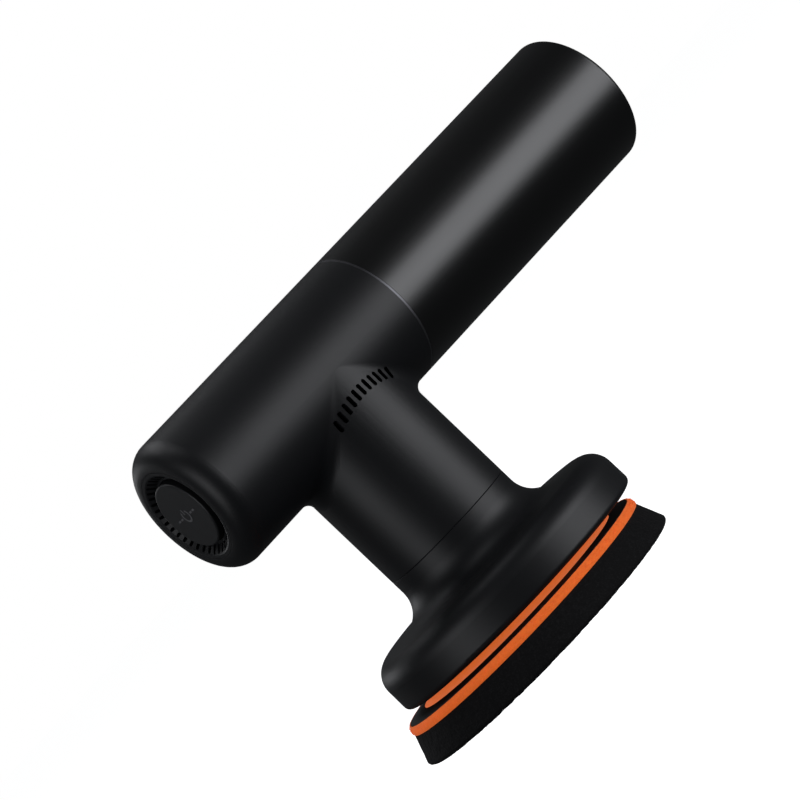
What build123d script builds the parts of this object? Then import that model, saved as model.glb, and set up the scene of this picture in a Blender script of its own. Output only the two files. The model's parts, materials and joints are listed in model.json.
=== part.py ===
from build123d import *
import os
from math import asin, cos, degrees, radians, sin, sqrt, tan

# A cordless orbital massager: a horizontal barrel with a handle at one end, a neck that
# drops from the barrel to a bell, and under the bell a round foam pad that runs on an
# eccentric. A motor and a fan stand in the neck, and three cells lie in the handle.
#
# Frame: +Z is up, the origin is on the neck's axis at the pad's bottom face, and the
# handle points along +X. Millimetres.

# ---------------------------------------------------------------- driving dimensions
# Fits
slip = 0.1  # radial gap of a plug or a ring pushed into a housing by hand
running = 0.03  # radial gap between a part that turns or slides and its seat
guide_gap = 0.3  # radial gap round the power button
air_gap = 0.4  # radial gap between magnets and stator teeth
catch_gap = 0.2  # power button's catch to the hoop it stops against
weld_gap = 0.05  # lead's end to the strip it is welded to
cut_over = 1.0  # how far a cut runs past the face it opens

# Barrel and handle
barrel_radius = 25.0
barrel_left = 60.7  # neck axis to the vented end face
handle_start = 34.1  # neck axis to the seam of the handle
handle_end = 151.0  # neck axis to the handle's end face
wall = 2.5
end_wall = 3.0
vented_edge_radius = 6.8
handle_edge_radius = 2.0
spigot_length = 12.0
spigot_wall = 2.0
trim_width = 0.8
seam_chamfer = 0.1
bell_seam_chamfer = 0.25

# Neck
neck_radius = 24.9
neck_length = 62.7  # barrel axis to the seam with the bell
neck_blend_radius = 6.0
ledge_height = 2.0
column_bite = 0.15  # how far a column runs into the neck's wall
column_gap = 0.15  # column to motor
column_length = 12.0
column_count = 4

# Vents in the neck
vent_count = 11
vent_pitch = 2.67
vent_shift = 0.9  # row's middle from the neck's axis, towards the handle
vent_width = 1.45
vent_length = 4.4
vent_drop = 12.35  # barrel axis down to the middle of the highest vents
vent_arch_radius = 33.0

# Vent ring and power button in the barrel's end
vent_ring_radius = 17.6
vent_ring_rim = 16.2
vent_ring_hub_inner = 12.9
vent_ring_hub_wall = 0.7
vent_ring_dish = 2.6
vent_ring_plate = 1.4
vent_ring_chamfer = 0.3
radial_vent_count = 38
radial_vent_width = 1.1
flange_depth = 7.0  # end face to the screwed flange
flange_thickness = 2.0
bridge_width = 12.0
end_screw_inset = 2.6  # screws' circle in from the barrel's bore
end_screw_count = 3
end_boss_radius = 2.15
boss_bite = 0.4  # how far a boss runs into the wall beside it
button_wall = 1.8
button_skirt_wall = 1.4
button_length = 5.2
button_catch = 1.2
button_edge_radius = 0.6
switch_board_radius = 8.5
switch_size = 6.0
switch_height = 2.0
switch_edge = 0.25
plunger_radius = 1.75
plunger_tail = 0.5

# Bell
bell_radius = 50.95
bell_height = 31.8
bell_top_height = 18.25  # bottom edge up to the bell's top, at the neck
bell_top_slope = 4.7  # degrees
bell_draft = 0.73  # degrees
flare_radius = 9.8
shoulder_radius = 7.8
bell_edge_radius = 2.0
web_thickness = 3.0

# Pad, from the bottom up
foam_bottom_radius = 55.2
foam_top_radius = 50.9
foam_height = 10.6
foam_edge_radius = 1.5
loop_top_radius = 50.2
loop_height = 3.0
loop_floor = 1.0
loop_bulge = 0.25
hook_thickness = 0.5
hook_gap = 0.1
hook_inset = 0.8
plate_radius = 49.6
plate_recess_gap = 0.3
plate_thickness = 2.1
plate_rim_drop = 0.7
cover_radius = 42.1
cover_thickness = 0.8
cover_hole_gap = 2.0
bell_gap = 2.8  # plate up to the bell's bottom edge

# Eccentric drive
throw = 4.19
throw_angle = 151.0  # degrees round +Z from +X
shaft_radius = 4.0
spindle_flange_radius = 12.0
spindle_flange = 2.5
spindle_step = 1.0
spindle_screw_circle = 8.85
spindle_screw_count = 4
spindle_bolt_length = 6.0
hub_wall = 3.0
hub_recess = 3.3
hub_recess_radius = 8.0
hub_web = 4.0
hub_boss_radius = 8.0
hub_boss_height = 12.0
weight_plate = 3.0
weight_depth = 11.0
weight_radius = 25.0
weight_angle = 100.0  # degrees of arc
weight_screw_circle = 11.2
weight_hole_depth = 3.0
weight_bite = 1.0  # how far the arc runs into the ring plate

# Bearings, the common 8 x 22 x 7 size
bearing_radius = 11.0
bearing_width = 7.0
ball_radius = 1.98
ball_count = 7
ball_gap = 0.03
ring_wall = 1.7
seat_wall = 2.0
seat_floor = 1.0

# Motor and fan
motor_radius = 17.4
motor_length = 32.0
can_wall = 1.2
can_edge = 0.3
lid_edge = 0.6
can_floor = 1.5
mount_thickness = 4.0
mount_offset = 2.2
stack_height = 15.0
stack_start = 8.5  # can's floor up to the stator stack
stator_yoke = 3.0
tooth_count = 6
tooth_width = 4.0
tooth_tip_radius = 9.4
tooth_bite = 0.5
coil_build = 1.5
coil_overhang = 2.0
coil_clearance = 0.6
magnet_thickness = 2.2
magnet_count = 4
magnet_slot = 1.2
motor_screw_count = 4
lid_vent_count = 8
shaft_chamfer = 0.4
shaft_overrun = 1.0
motor_lid_thickness = 3.0
fan_room = 3.6  # fan to the neck's bore, where the leads pass
fan_height = 8.0
fan_plate = 1.2
fan_blade_count = 11
fan_blade_start = 10.25  # radius of the blades' inner ends
fan_blade_inset = 0.75
fan_blade_angle = 25.0
fan_hub_radius = 6.5
fan_clearance = 4.0

# Cells and boards
cell_radius = 9.2
cell_length = 65.2
cell_gap = 0.35
cell_edge_radius = 0.8
cell_count = 3
cell_start = 51.5
holder_thickness = 6.0
holder_pocket = 3.0
holder_gap = 0.6
holder_lip = 3.0
holder_notch_radius = 3.5
strip_thickness = 0.3
strip_width = 5.0
strip_overrun = 1.0
tab_length = 7.0
board_thickness = 1.6
thin_board = 1.0
battery_board_inset = 3.5
battery_board_gap = 5.0
board_notch_radius = 4.0
control_board_length = 72.0
control_board_width = 36.0
control_board_left = 46.0
control_board_lift = 4.0
board_corner_radius = 2.0
rail_reach = 2.0
rail_height = 1.5
charge_board_length = 17.0
charge_board_width = 18.0
cap_thickness = 3.2
cap_recess = 0.4
port_width = 8.94
port_height = 3.26
port_depth = 7.4
port_corner = 1.62
port_shell = 0.3
port_back = 1.0
port_gap = 0.2
tongue_width = 6.6
tongue_thickness = 0.7
tongue_inset = 1.0
lamp_radius = 1.5
lamp_offset = 8.0
lamp_tail = 2.0
cap_boss_length = 12.0

# Components: length, width and height, then where they stand along the control board
controller = (7.0, 7.0, 1.0)
driver = (4.0, 5.0, 1.0)
transistor = (5.0, 6.0, 1.1)
transistor_pitch = (7.0, 8.0)
fuse = (4.5, 5.0, 1.2)
fuse_pitch = (9.0, 12.0)
charger = (4.0, 6.0, 1.2)
charger_inset = 4.0
capacitor_radius = 4.0
capacitor_height = 10.0
capacitor_pitch = 10.0
controller_x = -8.0
driver_x = 2.0
transistor_x = 14.0
capacitor_x = -22.0

# Leads, and how far their routes run between bends
lead_radius = 0.8
lead_pitch = 4.0
lead_room = 1.0
lead_stub = 1.4
lead_bend = 1.0
lead_turn = 3.0
motor_lead_corners = [0.9, 1.1, 1.2, 1.2]
supply_spread = 5.0
supply_stub = 6.0
supply_rise = 1.0
supply_reach = 8.0
supply_inset = 4.0
supply_stand = 5.0
supply_lead_corners = [2.0, 4.0, 2.0]

# Screws: shank and head radius, head height
small_screw = (1.0, 1.9, 1.5)
screw = (1.25, 2.3, 1.8)
flat_screw = (1.5, 2.9, 1.5)
set_screw_radius = 1.5
screw_gap = 0.15
vent_screw_length = 5.0
cap_screw_length = 6.0
mount_screw_length = 10.0
bell_screw_length = 8.0
weight_screw_length = 5.0

# ---------------------------------------------------------------- heights and places
hook_bottom = foam_height + loop_floor + hook_gap
plate_bottom = hook_bottom + hook_thickness
plate_top = plate_bottom + plate_thickness
bell_bottom = plate_top + bell_gap
seam_height = bell_bottom + bell_height
barrel_height = seam_height + neck_length
bell_top = bell_bottom + bell_top_height

throw_x = throw * cos(radians(throw_angle))
throw_y = throw * sin(radians(throw_angle))
spindle_top = plate_top + spindle_flange
eccentric_bearing_bottom = spindle_top + spindle_step
eccentric_bearing_top = eccentric_bearing_bottom + bearing_width
hub_web_bottom = eccentric_bearing_top + hub_recess
hub_web_top = hub_web_bottom + hub_web
hub_top = hub_web_top + hub_boss_height
shaft_bottom = hub_web_bottom + hub_web / 2

mount_bottom = seam_height + mount_offset
can_bottom = mount_bottom + mount_thickness
stack_bottom = can_bottom + stack_start
can_top = can_bottom + motor_length
motor_top = can_top + motor_lid_thickness
lower_bearing_bottom = can_bottom - bearing_width
upper_bearing_bottom = can_top - bearing_width / 2
fan_bottom = motor_top + fan_clearance
shaft_top = fan_bottom + fan_height + shaft_overrun

barrel_bore = barrel_radius - wall
neck_bore = neck_radius - wall
end_screw_circle = barrel_bore - end_screw_inset
column_radius = (neck_bore + column_bite - motor_radius - column_gap) / 2
column_pitch_radius = motor_radius + column_gap + column_radius
fan_radius = neck_bore - fan_room
holder_radius = barrel_bore - holder_gap
battery_board_radius = barrel_bore - battery_board_inset
flange_x = flange_depth - barrel_left
sleeve_start = handle_start + trim_width
cap_outer_x = handle_end - cap_recess
cap_inner_x = cap_outer_x - cap_thickness
board_height = barrel_height + control_board_lift
cell_end = cell_start + cell_length
cell_ring_radius = (2 * cell_radius + cell_gap) / sqrt(3)
battery_board_x = cell_end + battery_board_gap

barrel_axis = Axis((0, 0, barrel_height), (1, 0, 0))
throw_axis = Axis((throw_x, throw_y, 0), (0, 0, 1))
barrel_section = Plane(origin=(0, 0, barrel_height), x_dir=(1, 0, 0), z_dir=(0, -1, 0))
throw_section = Plane(origin=(throw_x, throw_y, 0), x_dir=(1, 0, 0), z_dir=(0, -1, 0))


def across_barrel(x):
    """Plane square to the barrel at x: its own x is world +Y and its own y is world +Z."""
    return Plane(origin=(x, 0, barrel_height), x_dir=(0, 1, 0), z_dir=(1, 0, 0))


def on_neck(height):
    """Level plane on the neck's axis, its own x along the throw."""
    along = (cos(radians(throw_angle)), sin(radians(throw_angle)), 0)
    return Plane(origin=(0, 0, height), x_dir=along, z_dir=(0, 0, 1))


def on_throw(height):
    """Level plane on the eccentric's axis, its own x along the throw."""
    along = (cos(radians(throw_angle)), sin(radians(throw_angle)), 0)
    return Plane(origin=(throw_x, throw_y, height), x_dir=along, z_dir=(0, 0, 1))


def section(plane, *corners):
    """Closed half section with straight sides, to be turned about an axis."""
    with BuildSketch(plane) as outline:
        with BuildLine():
            Polyline(*corners, close=True)
        make_face()
    return outline.sketch


def rims(piece, radius):
    """The circular edges of one radius."""
    circles = piece.edges().filter_by(GeomType.CIRCLE)
    return circles.filter_by(lambda edge: abs(edge.radius - radius) < 0.01)


def save(piece, label):
    """Names a finished piece and writes it to its own STEP file."""
    piece.part.label = label
    export_step(piece.part, f"parts/{label}.step")


def save_screws(label, plane, places, size, length):
    """Round-headed screws as one node: heads rest on the plane, shanks run against its normal."""
    shank_radius, head_radius, head_height = size
    with BuildPart() as screws:
        for place in places:
            with BuildSketch(plane):
                with Locations(place):
                    Circle(head_radius)
            extrude(amount=head_height)
            with BuildSketch(plane):
                with Locations(place):
                    Circle(shank_radius)
            extrude(amount=-length)
            with BuildSketch(plane.offset(head_height)):
                with Locations(place):
                    RegularPolygon(shank_radius, 6)
            extrude(amount=-head_height / 2, mode=Mode.SUBTRACT)
    save(screws, label)


def on_circle(radius, count, first_angle):
    """Points evenly spaced on a circle."""
    angles = [radians(first_angle + 360 * step / count) for step in range(count)]
    return [(radius * cos(angle), radius * sin(angle)) for angle in angles]


os.makedirs("parts", exist_ok=True)

# ---------------------------------------------------------------- housing
end_screw_places = on_circle(end_screw_circle, end_screw_count, 90)
column_places = on_circle(column_pitch_radius, column_count, 45)
ledge_bottom = motor_top + slip
vent_row = [(step - (vent_count - 1) / 2) * vent_pitch for step in range(vent_count)]
spigot_radius = barrel_bore - slip
rail_inner = control_board_width / 2 - rail_reach
rail_width = barrel_radius - wall / 2 - rail_inner
rail_middle = control_board_lift - board_thickness / 2 - rail_height / 2
lead_notch_width = 2 * lead_pitch + 6 * lead_radius
lead_notch_depth = neck_bore - fan_radius + lead_room

with BuildPart() as housing:
    # Barrel and neck outside
    with BuildSketch(across_barrel(-barrel_left)):
        Circle(barrel_radius)
    extrude(amount=barrel_left + handle_start)
    with BuildSketch(Plane.XY.offset(seam_height)):
        Circle(neck_radius)
    extrude(amount=neck_length)
    crotch = housing.edges().filter_by(GeomType.CIRCLE, reverse=True).filter_by(GeomType.LINE, reverse=True)
    fillet(crotch, neck_blend_radius)
    fillet(housing.edges().filter_by(GeomType.CIRCLE).sort_by(Axis.X)[0], vented_edge_radius)
    chamfer(housing.edges().filter_by(GeomType.CIRCLE).sort_by(Axis.Z)[0], seam_chamfer)
    # Spigot that carries the handle
    with BuildSketch(across_barrel(handle_start)):
        Circle(spigot_radius)
    extrude(amount=spigot_length)
    # Bores
    with BuildSketch(across_barrel(end_wall - barrel_left)):
        Circle(barrel_bore)
    extrude(amount=barrel_left - end_wall + handle_start - wall, mode=Mode.SUBTRACT)
    with BuildSketch(across_barrel(0)):
        Circle(spigot_radius - spigot_wall)
    extrude(amount=handle_start + spigot_length, mode=Mode.SUBTRACT)
    with BuildSketch(Plane.XY.offset(seam_height)):
        Circle(neck_bore)
    extrude(amount=neck_length, mode=Mode.SUBTRACT)
    with BuildSketch(across_barrel(-barrel_left)):
        Circle(vent_ring_radius + slip)
    extrude(amount=end_wall, mode=Mode.SUBTRACT)
    # Bosses for the vent ring, and the columns that carry the motor mount
    with BuildSketch(across_barrel(end_wall - barrel_left)):
        with Locations(*end_screw_places):
            Circle(end_boss_radius)
    extrude(amount=flange_depth - end_wall)
    with BuildSketch(across_barrel(end_wall - barrel_left)):
        with Locations(*end_screw_places):
            Circle(small_screw[0])
    extrude(amount=flange_depth - end_wall, mode=Mode.SUBTRACT)
    with BuildSketch(Plane.XY.offset(can_bottom)):
        with Locations(*column_places):
            Circle(column_radius)
    extrude(amount=column_length)
    with BuildSketch(Plane.XY.offset(can_bottom)):
        with Locations(*column_places):
            Circle(screw[0])
    extrude(amount=column_length - wall, mode=Mode.SUBTRACT)
    # Ledge over the motor, with room for the fan to pass
    with BuildSketch(Plane.XY.offset(ledge_bottom)):
        Circle(neck_bore + wall / 2)
        Circle(fan_radius + slip, mode=Mode.SUBTRACT)
        with Locations((0, neck_bore)):
            Rectangle(lead_notch_width, 2 * lead_notch_depth, mode=Mode.SUBTRACT)
    extrude(amount=ledge_height)
    # Rails under the control board
    for side in (-1, 1):
        with BuildSketch(across_barrel(-control_board_left)):
            with Locations((side * (rail_inner + rail_width / 2), rail_middle)):
                Rectangle(rail_width, rail_height)
        extrude(amount=control_board_length)
    # Vents in the front of the neck
    with BuildSketch(Plane.XZ.offset(barrel_radius + cut_over)):
        for x in vent_row:
            arch_fall = vent_arch_radius - sqrt(vent_arch_radius**2 - x**2)
            with Locations((x + vent_shift, barrel_height - vent_drop - arch_fall)):
                SlotOverall(vent_length, vent_width, rotation=90)
    extrude(amount=-barrel_radius, mode=Mode.SUBTRACT)
save(housing, "housing")

# ---------------------------------------------------------------- vented end
hub_ring_outer = vent_ring_hub_inner + vent_ring_hub_wall
skirt_inner = vent_ring_rim + slip
face_x = -barrel_left

with BuildPart() as vent_ring:
    # Rim, dished vent plate and inner hoop, then the skirt that runs back to the flange
    revolve(
        section(
            barrel_section,
            (face_x, vent_ring_rim),
            (face_x, vent_ring_radius),
            (flange_x, vent_ring_radius),
            (flange_x, skirt_inner),
            (face_x + vent_ring_plate, skirt_inner),
            (face_x + vent_ring_dish + vent_ring_plate, hub_ring_outer),
            (face_x + vent_ring_dish + vent_ring_plate, vent_ring_hub_inner),
            (face_x + vent_ring_dish, vent_ring_hub_inner),
            (face_x + vent_ring_dish, hub_ring_outer),
        ),
        axis=barrel_axis,
    )
    chamfer(rims(vent_ring, vent_ring_rim), vent_ring_chamfer)
    with BuildSketch(across_barrel(face_x - cut_over)):
        with PolarLocations((hub_ring_outer + vent_ring_rim) / 2, radial_vent_count):
            SlotOverall(vent_ring_rim - hub_ring_outer - 2 * slip, radial_vent_width)
    extrude(amount=vent_ring_dish + vent_ring_plate + 2 * cut_over, mode=Mode.SUBTRACT)
    # Screwed flange, and a bridge across it for the switch board
    with BuildSketch(across_barrel(flange_x)):
        Circle(end_screw_circle + end_boss_radius)
        Circle(skirt_inner, mode=Mode.SUBTRACT)
        Rectangle(2 * skirt_inner + 2 * slip, bridge_width)
        with Locations(*end_screw_places):
            Circle(small_screw[0] + screw_gap, mode=Mode.SUBTRACT)
    extrude(amount=flange_thickness)
save(vent_ring, "vent_ring")

vent_screw_seat = across_barrel(flange_x + flange_thickness)
save_screws("vent_ring_screws", vent_screw_seat, end_screw_places, small_screw, vent_screw_length)

button_radius = vent_ring_hub_inner - guide_gap
switch_face_x = flange_x - thin_board
switch_front_x = switch_face_x - switch_height
button_back_x = face_x + button_length
catch_front_x = face_x + vent_ring_dish + vent_ring_plate + catch_gap

with BuildPart() as power_button:
    # Cup with a rounded rim and a catch that holds it behind the vent ring's hoop
    revolve(
        section(
            barrel_section,
            (face_x, 0),
            (face_x, button_radius),
            (catch_front_x, button_radius),
            (catch_front_x, button_radius + button_catch),
            (button_back_x, button_radius + button_catch),
            (button_back_x, button_radius - button_skirt_wall),
            (face_x + button_wall, button_radius - button_skirt_wall),
            (face_x + button_wall, 0),
        ),
        axis=barrel_axis,
    )
    fillet(power_button.edges().filter_by(GeomType.CIRCLE).sort_by(Axis.X)[0], button_edge_radius)
save(power_button, "power_button")

with BuildPart() as switch_plunger:
    # Pin between the button and the switch; its tail runs in the switch body
    with BuildSketch(across_barrel(face_x + button_wall)):
        Circle(plunger_radius)
    extrude(amount=switch_front_x - face_x - button_wall + plunger_tail)
save(switch_plunger, "switch_plunger")

with BuildPart() as tact_switch:
    with BuildSketch(across_barrel(switch_front_x)):
        Rectangle(switch_size, switch_size)
        Circle(plunger_radius + running, mode=Mode.SUBTRACT)
    extrude(amount=switch_height)
    chamfer(tact_switch.edges().filter_by(Axis.X), switch_edge)
save(tact_switch, "tact_switch")

with BuildPart() as switch_board:
    with BuildSketch(across_barrel(switch_face_x)):
        Circle(switch_board_radius)
    extrude(amount=thin_board)
save(switch_board, "switch_board")

# ---------------------------------------------------------------- handle
cap_radius = barrel_bore - slip

with BuildPart() as trim_ring:
    with BuildSketch(across_barrel(handle_start)):
        Circle(barrel_radius)
        Circle(spigot_radius + slip, mode=Mode.SUBTRACT)
    extrude(amount=trim_width)
    chamfer(rims(trim_ring, barrel_radius), seam_chamfer / 2)
save(trim_ring, "trim_ring")

with BuildPart() as handle_sleeve:
    with BuildSketch(across_barrel(sleeve_start)):
        Circle(barrel_radius)
        Circle(barrel_bore, mode=Mode.SUBTRACT)
    extrude(amount=handle_end - sleeve_start)
    fillet(rims(handle_sleeve, barrel_radius).sort_by(Axis.X)[-1], handle_edge_radius)
    chamfer(rims(handle_sleeve, barrel_radius).sort_by(Axis.X)[0], seam_chamfer)
    with BuildSketch(across_barrel(cap_inner_x)):
        with Locations(*end_screw_places):
            Circle(barrel_bore - end_screw_circle + boss_bite)
            Circle(small_screw[0], mode=Mode.SUBTRACT)
    extrude(amount=-cap_boss_length)
save(handle_sleeve, "handle_sleeve")

with BuildPart() as handle_cap:
    with BuildSketch(across_barrel(cap_inner_x)):
        Circle(cap_radius)
        RectangleRounded(
            port_width + 2 * port_gap,
            port_height + 2 * port_gap,
            port_corner + port_gap,
            mode=Mode.SUBTRACT,
        )
        with Locations((0, lamp_offset)):
            Circle(lamp_radius + running, mode=Mode.SUBTRACT)
        with Locations(*end_screw_places):
            Circle(small_screw[0] + screw_gap, mode=Mode.SUBTRACT)
    extrude(amount=cap_thickness)
    with BuildSketch(across_barrel(cap_outer_x)):
        with Locations(*end_screw_places):
            Circle(small_screw[1] + screw_gap)
    extrude(amount=-small_screw[2] - cap_recess, mode=Mode.SUBTRACT)
    chamfer(rims(handle_cap, cap_radius).sort_by(Axis.X)[-1], seam_chamfer)
save(handle_cap, "handle_cap")

cap_screw_seat = across_barrel(cap_outer_x - small_screw[2] - cap_recess)
save_screws("cap_screws", cap_screw_seat, end_screw_places, small_screw, cap_screw_length)

with BuildPart() as charge_light:
    # Light guide through the cap, down to the charge board
    with BuildSketch(across_barrel(cap_outer_x)):
        with Locations((0, lamp_offset)):
            Circle(lamp_radius)
    extrude(amount=-cap_thickness - lamp_tail)
save(charge_light, "charge_light")

charge_board_top = barrel_height - port_height / 2

with BuildPart() as usb_socket:
    with BuildSketch(across_barrel(cap_outer_x)):
        RectangleRounded(port_width, port_height, port_corner)
    extrude(amount=-port_depth)
    with BuildSketch(across_barrel(cap_outer_x)):
        RectangleRounded(
            port_width - 2 * port_shell,
            port_height - 2 * port_shell,
            port_corner - port_shell,
        )
    extrude(amount=-port_depth + port_back, mode=Mode.SUBTRACT)
    with BuildSketch(across_barrel(cap_outer_x - tongue_inset)):
        Rectangle(tongue_width, tongue_thickness)
    extrude(amount=-port_depth + tongue_inset + port_back / 2)
save(usb_socket, "usb_socket")

with BuildPart() as charge_board:
    with BuildSketch(Plane.XY.offset(charge_board_top)):
        with Locations((cap_inner_x - charge_board_length / 2 - slip, 0)):
            Rectangle(charge_board_length, charge_board_width)
    extrude(amount=-board_thickness)
    with BuildSketch(Plane.XY.offset(charge_board_top)):
        with Locations((cap_inner_x - charge_board_length + charger_inset, 0)):
            Rectangle(charger[0], charger[1])
    extrude(amount=charger[2])
save(charge_board, "charge_board")

# ---------------------------------------------------------------- cells
cell_places = on_circle(cell_ring_radius, cell_count, 90)

for number, place in enumerate(cell_places, 1):
    with BuildPart() as cell:
        with BuildSketch(across_barrel(cell_start)):
            with Locations(place):
                Circle(cell_radius)
        extrude(amount=cell_length)
        fillet(cell.edges().filter_by(GeomType.CIRCLE), cell_edge_radius)
    save(cell, f"cell_{number}")


def holder_block(start, pocket_start):
    """Round block from start, with one pocket for the cells' ends and their strips."""
    with BuildPart() as block:
        with BuildSketch(across_barrel(start)):
            Circle(holder_radius)
            with Locations(*on_circle(holder_radius, cell_count, 90 + 180 / cell_count)):
                Circle(holder_notch_radius, mode=Mode.SUBTRACT)
        extrude(amount=holder_thickness)
        with BuildSketch(across_barrel(pocket_start)) as pocket:
            with Locations(*cell_places):
                Circle(cell_radius + slip)
            make_hull(pocket.edges())
        extrude(amount=holder_pocket + strip_thickness + slip, mode=Mode.SUBTRACT)
        with BuildSketch(across_barrel(start)):
            with Locations(*cell_places):
                Circle(cell_radius - holder_lip)
        extrude(amount=holder_thickness, mode=Mode.SUBTRACT)
    return block


front_start = cell_start + holder_pocket - holder_thickness
rear_start = cell_end - holder_pocket
save(holder_block(front_start, cell_start - strip_thickness - slip), "cell_holder_front")
save(holder_block(rear_start, rear_start), "cell_holder_rear")

with BuildPart() as cell_strips:
    # Welded strips: two cells joined at each end, and a tab on the third
    for x, pair, single in ((cell_start - strip_thickness, 0, 2), (cell_end, 1, 0)):
        first = cell_places[pair]
        second = cell_places[pair + 1]
        middle = ((first[0] + second[0]) / 2, (first[1] + second[1]) / 2)
        turn = degrees(asin((second[1] - first[1]) / (2 * cell_radius + cell_gap)))
        if second[0] < first[0]:
            turn = 180 - turn
        with BuildSketch(across_barrel(x)):
            with Locations((middle[0], middle[1])):
                Rectangle(2 * (cell_radius + strip_overrun), strip_width, rotation=turn)
            with Locations(cell_places[single]):
                Rectangle(tab_length, strip_width)
        extrude(amount=strip_thickness)
save(cell_strips, "cell_strips")

with BuildPart() as battery_board:
    with BuildSketch(across_barrel(battery_board_x)):
        Circle(battery_board_radius)
        with Locations((0, battery_board_radius)):
            Circle(board_notch_radius, mode=Mode.SUBTRACT)
    extrude(amount=thin_board)
    with BuildSketch(across_barrel(battery_board_x + thin_board)):
        with GridLocations(*fuse_pitch, 3, 2):
            Rectangle(fuse[0], fuse[1])
    extrude(amount=fuse[2])
save(battery_board, "battery_board")

# ---------------------------------------------------------------- control board and leads
board_top = board_height + board_thickness / 2
board_bottom = board_height - board_thickness / 2
board_middle = control_board_length / 2 - control_board_left
board_right = control_board_length - control_board_left

with BuildPart() as control_board:
    with BuildSketch(Plane.XY.offset(board_bottom)):
        with Locations((board_middle, 0)):
            Rectangle(control_board_length, control_board_width)
    extrude(amount=board_thickness)
    fillet(control_board.edges().filter_by(Axis.Z), board_corner_radius)
save(control_board, "control_board")

with BuildPart() as board_parts:
    # Controller and its driver, six power transistors, and two capacitors standing up
    for part_x, chip in ((controller_x, controller), (driver_x, driver)):
        with BuildSketch(Plane.XY.offset(board_top)):
            with Locations((board_middle + part_x, 0)):
                Rectangle(chip[0], chip[1])
        extrude(amount=chip[2])
    with BuildSketch(Plane.XY.offset(board_top)):
        with Locations((board_middle + transistor_x, 0)):
            with GridLocations(*transistor_pitch, 2, 3):
                Rectangle(transistor[0], transistor[1])
    extrude(amount=transistor[2])
    with BuildSketch(Plane.XY.offset(board_top)):
        with Locations((board_middle + capacitor_x, 0)):
            with GridLocations(capacitor_pitch, capacitor_pitch, 1, 2):
                Circle(capacitor_radius)
    extrude(amount=capacitor_height)
save(board_parts, "board_parts")

lead_wall_y = fan_radius + slip + (neck_bore - fan_radius) / 2
lead_end_y = control_board_width / 2 - rail_reach - 2 * lead_radius
lead_start_y = motor_radius - 2 * lead_radius

with BuildPart() as motor_leads:
    # Three phase leads: out of the motor's lid, up the neck's wall and onto the board
    for x in (-lead_pitch, 0, lead_pitch):
        with BuildLine() as route:
            FilletPolyline(
                (x, lead_start_y, motor_top),
                (x, lead_start_y, motor_top + lead_stub),
                (x, lead_wall_y, motor_top + lead_stub + lead_bend),
                (x, lead_wall_y, barrel_height - lead_turn),
                (x, lead_end_y, barrel_height),
                (x, lead_end_y, board_bottom),
                radius=motor_lead_corners,
            )
        with BuildSketch(Plane(origin=route.line @ 0, z_dir=route.line % 0)):
            Circle(lead_radius)
        sweep(path=route.line)
save(motor_leads, "motor_leads")

with BuildPart() as battery_leads:
    # Two supply leads from the cells' front tabs to the board's top
    for y in (-supply_spread, supply_spread):
        with BuildLine() as route:
            FilletPolyline(
                (cell_start - strip_thickness - weld_gap, y, barrel_height + cell_ring_radius),
                (cell_start - supply_stub, y, barrel_height + cell_ring_radius),
                (board_right + supply_reach, y, barrel_height + cell_ring_radius + supply_rise),
                (board_right - supply_inset, y, board_top + supply_stand),
                (board_right - supply_inset, y, board_top),
                radius=supply_lead_corners,
            )
        with BuildSketch(Plane(origin=route.line @ 0, z_dir=route.line % 0)):
            Circle(lead_radius)
        sweep(path=route.line)
save(battery_leads, "battery_leads")

# ---------------------------------------------------------------- motor
can_inner = motor_radius - can_wall
stack_radius = can_inner - running
tooth_root = stack_radius - stator_yoke
magnet_outer = tooth_tip_radius - air_gap
magnet_inner = magnet_outer - magnet_thickness
bearing_wall = bearing_radius + seat_wall
motor_screw_circle = bearing_wall + small_screw[1] + screw_gap
motor_screw_places = on_circle(motor_screw_circle, motor_screw_count, 0)
web_opening = motor_screw_circle + small_screw[1] + 2 * screw_gap
bell_screw_places = on_circle(web_opening + screw[1] + 2 * screw_gap, column_count, 0)
foot_depth = bearing_width + seat_floor

with BuildPart() as motor_mount:
    # Plate across the neck with the lower bearing's seat hanging from it
    with BuildSketch(Plane.XY.offset(can_bottom)):
        Circle(neck_bore - slip)
    extrude(amount=-mount_thickness)
    with BuildSketch(Plane.XY.offset(can_bottom)):
        Circle(bearing_wall)
    extrude(amount=-foot_depth)
    with BuildSketch(Plane.XY.offset(can_bottom)):
        Circle(bearing_radius)
    extrude(amount=-bearing_width, mode=Mode.SUBTRACT)
    with BuildSketch(Plane.XY.offset(lower_bearing_bottom)):
        Circle(bearing_radius - ring_wall)
    extrude(amount=-foot_depth + bearing_width, mode=Mode.SUBTRACT)
    with BuildSketch(Plane.XY.offset(can_bottom)):
        with Locations(*column_places):
            Circle(screw[0] + screw_gap)
        with Locations(*motor_screw_places):
            Circle(small_screw[0] + screw_gap)
        with Locations(*bell_screw_places):
            Circle(screw[0])
    extrude(amount=-mount_thickness, mode=Mode.SUBTRACT)
save(motor_mount, "motor_mount")

column_seat = Plane.XY.offset(mount_bottom).rotated((180, 0, 0))
save_screws("mount_screws", column_seat, column_places, screw, mount_screw_length)

with BuildPart() as motor_can:
    with BuildSketch(Plane.XY.offset(can_bottom)):
        Circle(motor_radius)
    extrude(amount=motor_length)
    with BuildSketch(Plane.XY.offset(can_bottom + can_floor)):
        Circle(can_inner)
    extrude(amount=motor_length, mode=Mode.SUBTRACT)
    with BuildSketch(Plane.XY.offset(can_bottom)):
        Circle(bearing_radius - ring_wall)
        with Locations(*motor_screw_places):
            Circle(small_screw[0])
    extrude(amount=can_floor, mode=Mode.SUBTRACT)
    chamfer(rims(motor_can, motor_radius), can_edge)
save(motor_can, "motor_can")

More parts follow.
